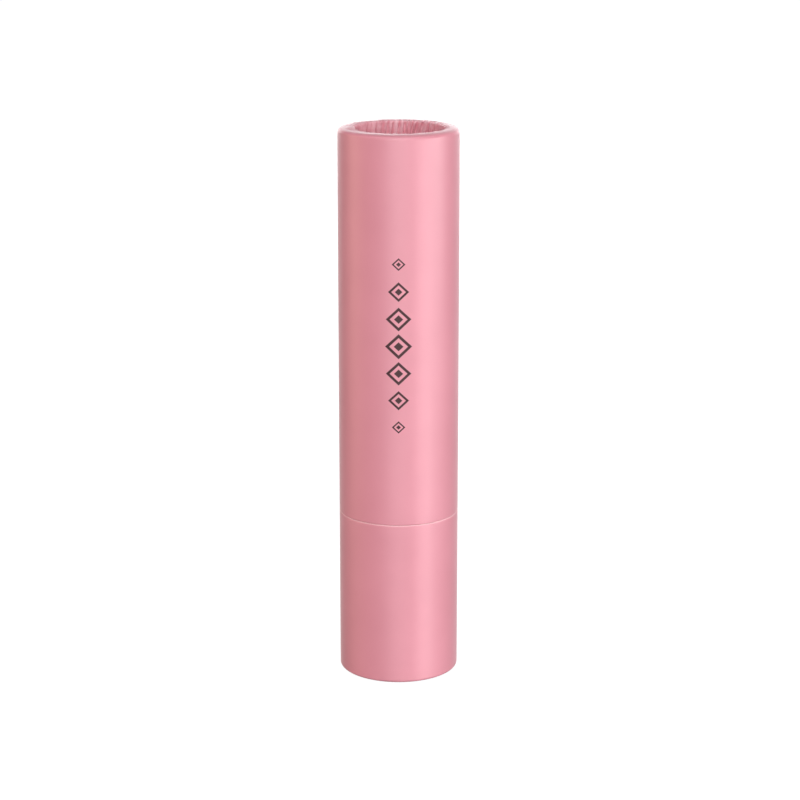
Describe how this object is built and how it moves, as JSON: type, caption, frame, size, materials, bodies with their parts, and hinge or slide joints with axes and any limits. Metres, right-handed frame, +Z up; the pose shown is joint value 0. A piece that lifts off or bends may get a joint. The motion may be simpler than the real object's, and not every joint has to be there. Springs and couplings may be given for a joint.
{
  "type": "twist-up lipstick",
  "caption": "Twist-up lipstick in a paper-covered board tube, with a long pull-off cap, a turning neck and a slanted bullet in a lugged cup.",
  "frame": {"origin": "middle of the foot, on the surface that the tube stands on", "axes": "+Z up along the tube's axis, from the base to the cap; the picture looks along +Y, with +X to its right"},
  "size_m": [0.019, 0.019, 0.0882],
  "materials": {
    "pink_wrap": "satin laminated paper",
    "board": "raw spiral-wound board",
    "white_paper": "smooth uncoated paper",
    "white_plastic": "moulded, semi-gloss",
    "lipstick_wax": "satin cosmetic wax"
  },
  "bodies": {
    "base": {"base_wrap": "pink_wrap", "base_tube": "board", "base_liner": "white_paper", "base_end_disc": "board", "base_disc_facing": "pink_wrap", "base_plug": "white_plastic", "guide_sleeve": "white_plastic"},
    "neck": {"neck_tube": "board", "neck_wrap": "white_paper", "cam_sleeve": "white_plastic"},
    "carrier": {"bullet_cup": "white_plastic", "lipstick_bullet": "lipstick_wax"},
    "cap": {"cap_wrap": "pink_wrap", "cap_tube": "board", "cap_liner": "white_paper", "cap_end_disc": "board", "cap_disc_facing": "pink_wrap"}
  },
  "joints": [
    {"name": "neck_turn", "type": "hinge", "parent": "base", "child": "neck", "pos_m": [0, 0, 0.026], "axis": [0, 0, 1], "range_deg": [0, 540]},
    {"name": "bullet_lift", "type": "slide", "parent": "base", "child": "carrier", "axis": [0, 0, 1], "range_m": [0, 0.029]},
    {"name": "cap_pull", "type": "slide", "parent": "neck", "child": "cap", "axis": [0, 0, 1], "range_m": [0, 0.07]}
  ],
  "couplings": [
    {"joint": "bullet_lift", "follows": "neck_turn", "m_per_rad": 0.0030769}
  ]
}
